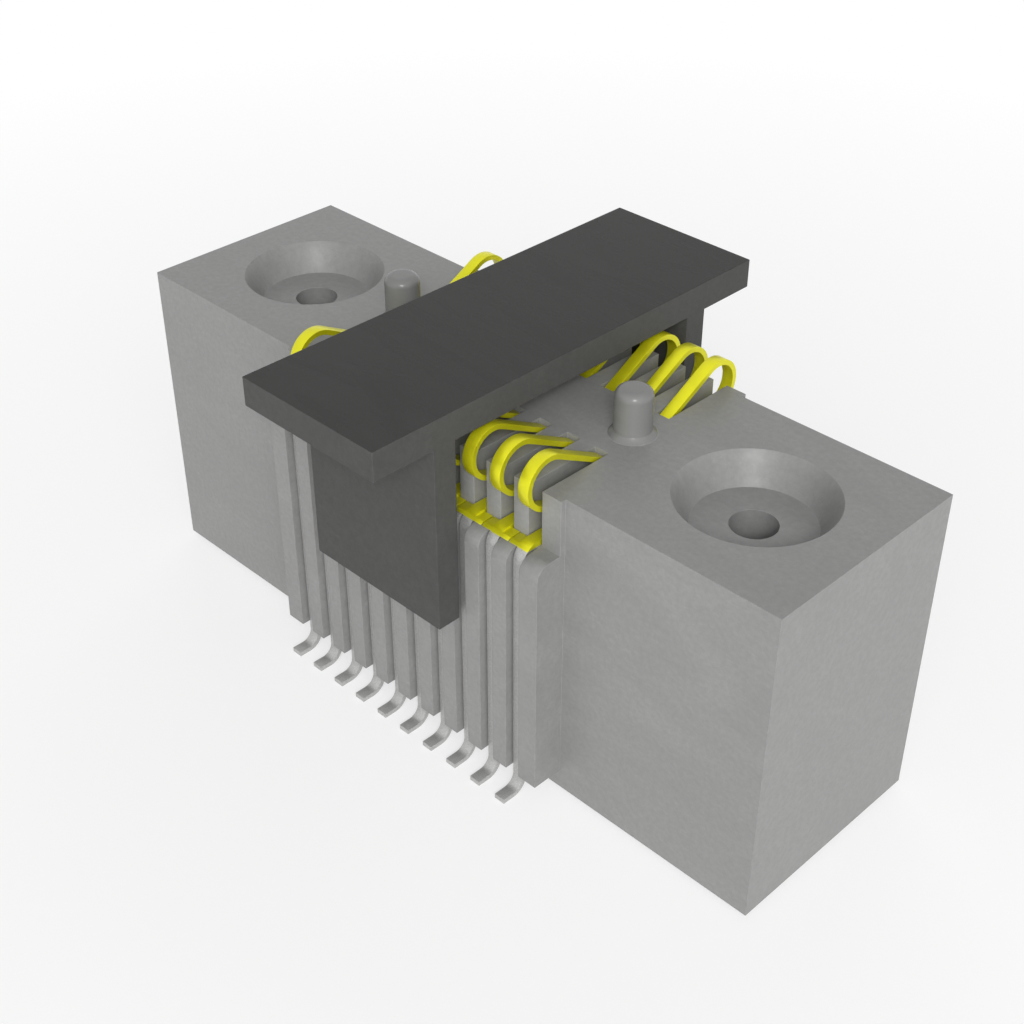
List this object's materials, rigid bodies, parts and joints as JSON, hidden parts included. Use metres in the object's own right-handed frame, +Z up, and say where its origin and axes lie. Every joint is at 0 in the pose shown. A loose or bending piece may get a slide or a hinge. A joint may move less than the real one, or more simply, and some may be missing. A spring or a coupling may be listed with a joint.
{
  "type": "board to board connector",
  "caption": "Board to board connector: ribbed housing with screw blocks and alignment pins at its ends, rows of bow-shaped spring contacts, and a pull-off cap for pick and place.",
  "frame": {"origin": "centre of the footprint, on the board that the contact tails are soldered to", "axes": "+X along the contact rows, +Y from the front row to the rear row, +Z up, away from that board"},
  "size_m": [0.024, 0.0144, 0.0118],
  "materials": {
    "housing_plastic": "moulded grey high-temperature plastic, fine matte",
    "contact_metal": "copper alloy spring strip, gold plated above the shoulder and matt tin below it",
    "cap_plastic": "moulded dark grey high-temperature plastic, fine matte"
  },
  "bodies": {
    "root": {"housing": "housing_plastic", "contact_front_01": "contact_metal", "contact_front_02": "contact_metal", "contact_front_03": "contact_metal", "contact_front_04": "contact_metal", "contact_front_05": "contact_metal", "contact_front_06": "contact_metal", "contact_front_07": "contact_metal", "contact_front_08": "contact_metal", "contact_front_09": "contact_metal", "contact_front_10": "contact_metal", "contact_rear_01": "contact_metal", "contact_rear_02": "contact_metal", "contact_rear_03": "contact_metal", "contact_rear_04": "contact_metal", "contact_rear_05": "contact_metal", "contact_rear_06": "contact_metal", "contact_rear_07": "contact_metal", "contact_rear_08": "contact_metal", "contact_rear_09": "contact_metal", "contact_rear_10": "contact_metal", "pick_up_cap": "cap_plastic"}
  },
  "joints": []
}
